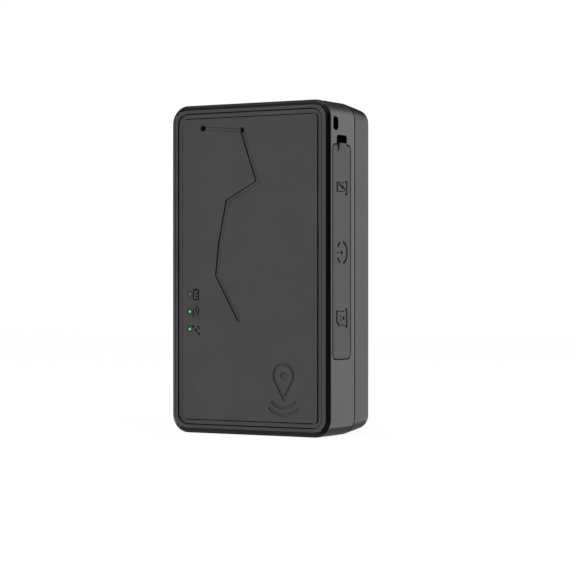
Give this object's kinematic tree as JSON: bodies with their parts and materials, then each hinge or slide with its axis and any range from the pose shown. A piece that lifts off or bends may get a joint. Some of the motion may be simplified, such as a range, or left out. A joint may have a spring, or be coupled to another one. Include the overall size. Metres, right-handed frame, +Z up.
{
  "type": "gps tracker",
  "caption": "Upright slab-shaped tracker: black moulded case, star-line engraving, status lamps, flap over the side ports, magnets in the back.",
  "frame": {"origin": "centre of the bottom end of the case, which is the face it stands on", "axes": "+Z up the case to its top end, +X to the side that carries the port flap as seen from the front, the front face towards -Y and the magnets towards +Y"},
  "size_m": [0.0606, 0.03, 0.108],
  "materials": {
    "case_front": "fine matte grain",
    "case_rear": "fine matte grain",
    "seal": "smooth silicone",
    "flap": "soft matte",
    "button": "fine matte",
    "black_plastic": "smooth",
    "steel": "stamped sheet",
    "circuit_board": "solder mask",
    "shielding": "plated sheet",
    "ceramic": "unglazed ceramic",
    "silvering": "printed silver",
    "antenna_ceramic": "unglazed ceramic",
    "chips": "moulded epoxy",
    "led_bodies": "clear epoxy",
    "lens_off": "frosted, unlit",
    "lens_lit": "frosted, lit green",
    "microphone_can": "gold plated",
    "seal_black": "smooth silicone",
    "membrane": "expanded film",
    "cell_foil": "laminated foil",
    "connector_body": "natural nylon",
    "wire_red": "silicone insulation",
    "wire_black": "silicone insulation",
    "foam": "open cell foam",
    "nickel": "nickel plating",
    "screw_steel": "zinc plated",
    "screw_black": "black oxide"
  },
  "bodies": {
    "case": {"front_shell": "case_front", "rear_shell": "case_rear", "perimeter_gasket": "seal", "flap_anchor": "flap", "power_switch": "steel", "usb_connector": "steel", "usb_tongue": "black_plastic", "sim_socket_cover": "steel", "sim_socket_base": "black_plastic", "main_board": "circuit_board", "modem_module": "shielding", "shield_can": "shielding", "gnss_patch_antenna": "ceramic", "gnss_patch_electrode": "silvering", "lte_antenna": "antenna_ceramic", "board_chips": "chips", "status_leds": "led_bodies", "power_led_lens": "lens_off", "network_led_lens": "lens_lit", "gps_led_lens": "lens_lit", "microphone": "microphone_can", "microphone_boot": "seal_black", "vent_membrane": "membrane", "battery_cell_front": "cell_foil", "battery_cell_rear": "cell_foil", "battery_protection_board": "circuit_board", "battery_connector": "connector_body", "battery_lead_positive": "wire_red", "battery_lead_negative": "wire_black", "battery_foam": "foam", "magnets": "nickel", "board_screws": "screw_steel", "case_screws": "screw_black"},
    "flap": {"port_flap": "flap"},
    "button": {"power_button": "button", "power_switch_plunger": "black_plastic"}
  },
  "joints": [
    {"name": "flap_hinge", "type": "hinge", "parent": "case", "child": "flap", "pos_m": [0.03, -0.00655, 0.0279], "axis": [0, 1, 0], "range_deg": [0, 110]},
    {"name": "power_button_press", "type": "slide", "parent": "case", "child": "button", "axis": [-1, 0, 0], "range_m": [0, 0.0004], "stiffness_N_per_m": 2000}
  ]
}
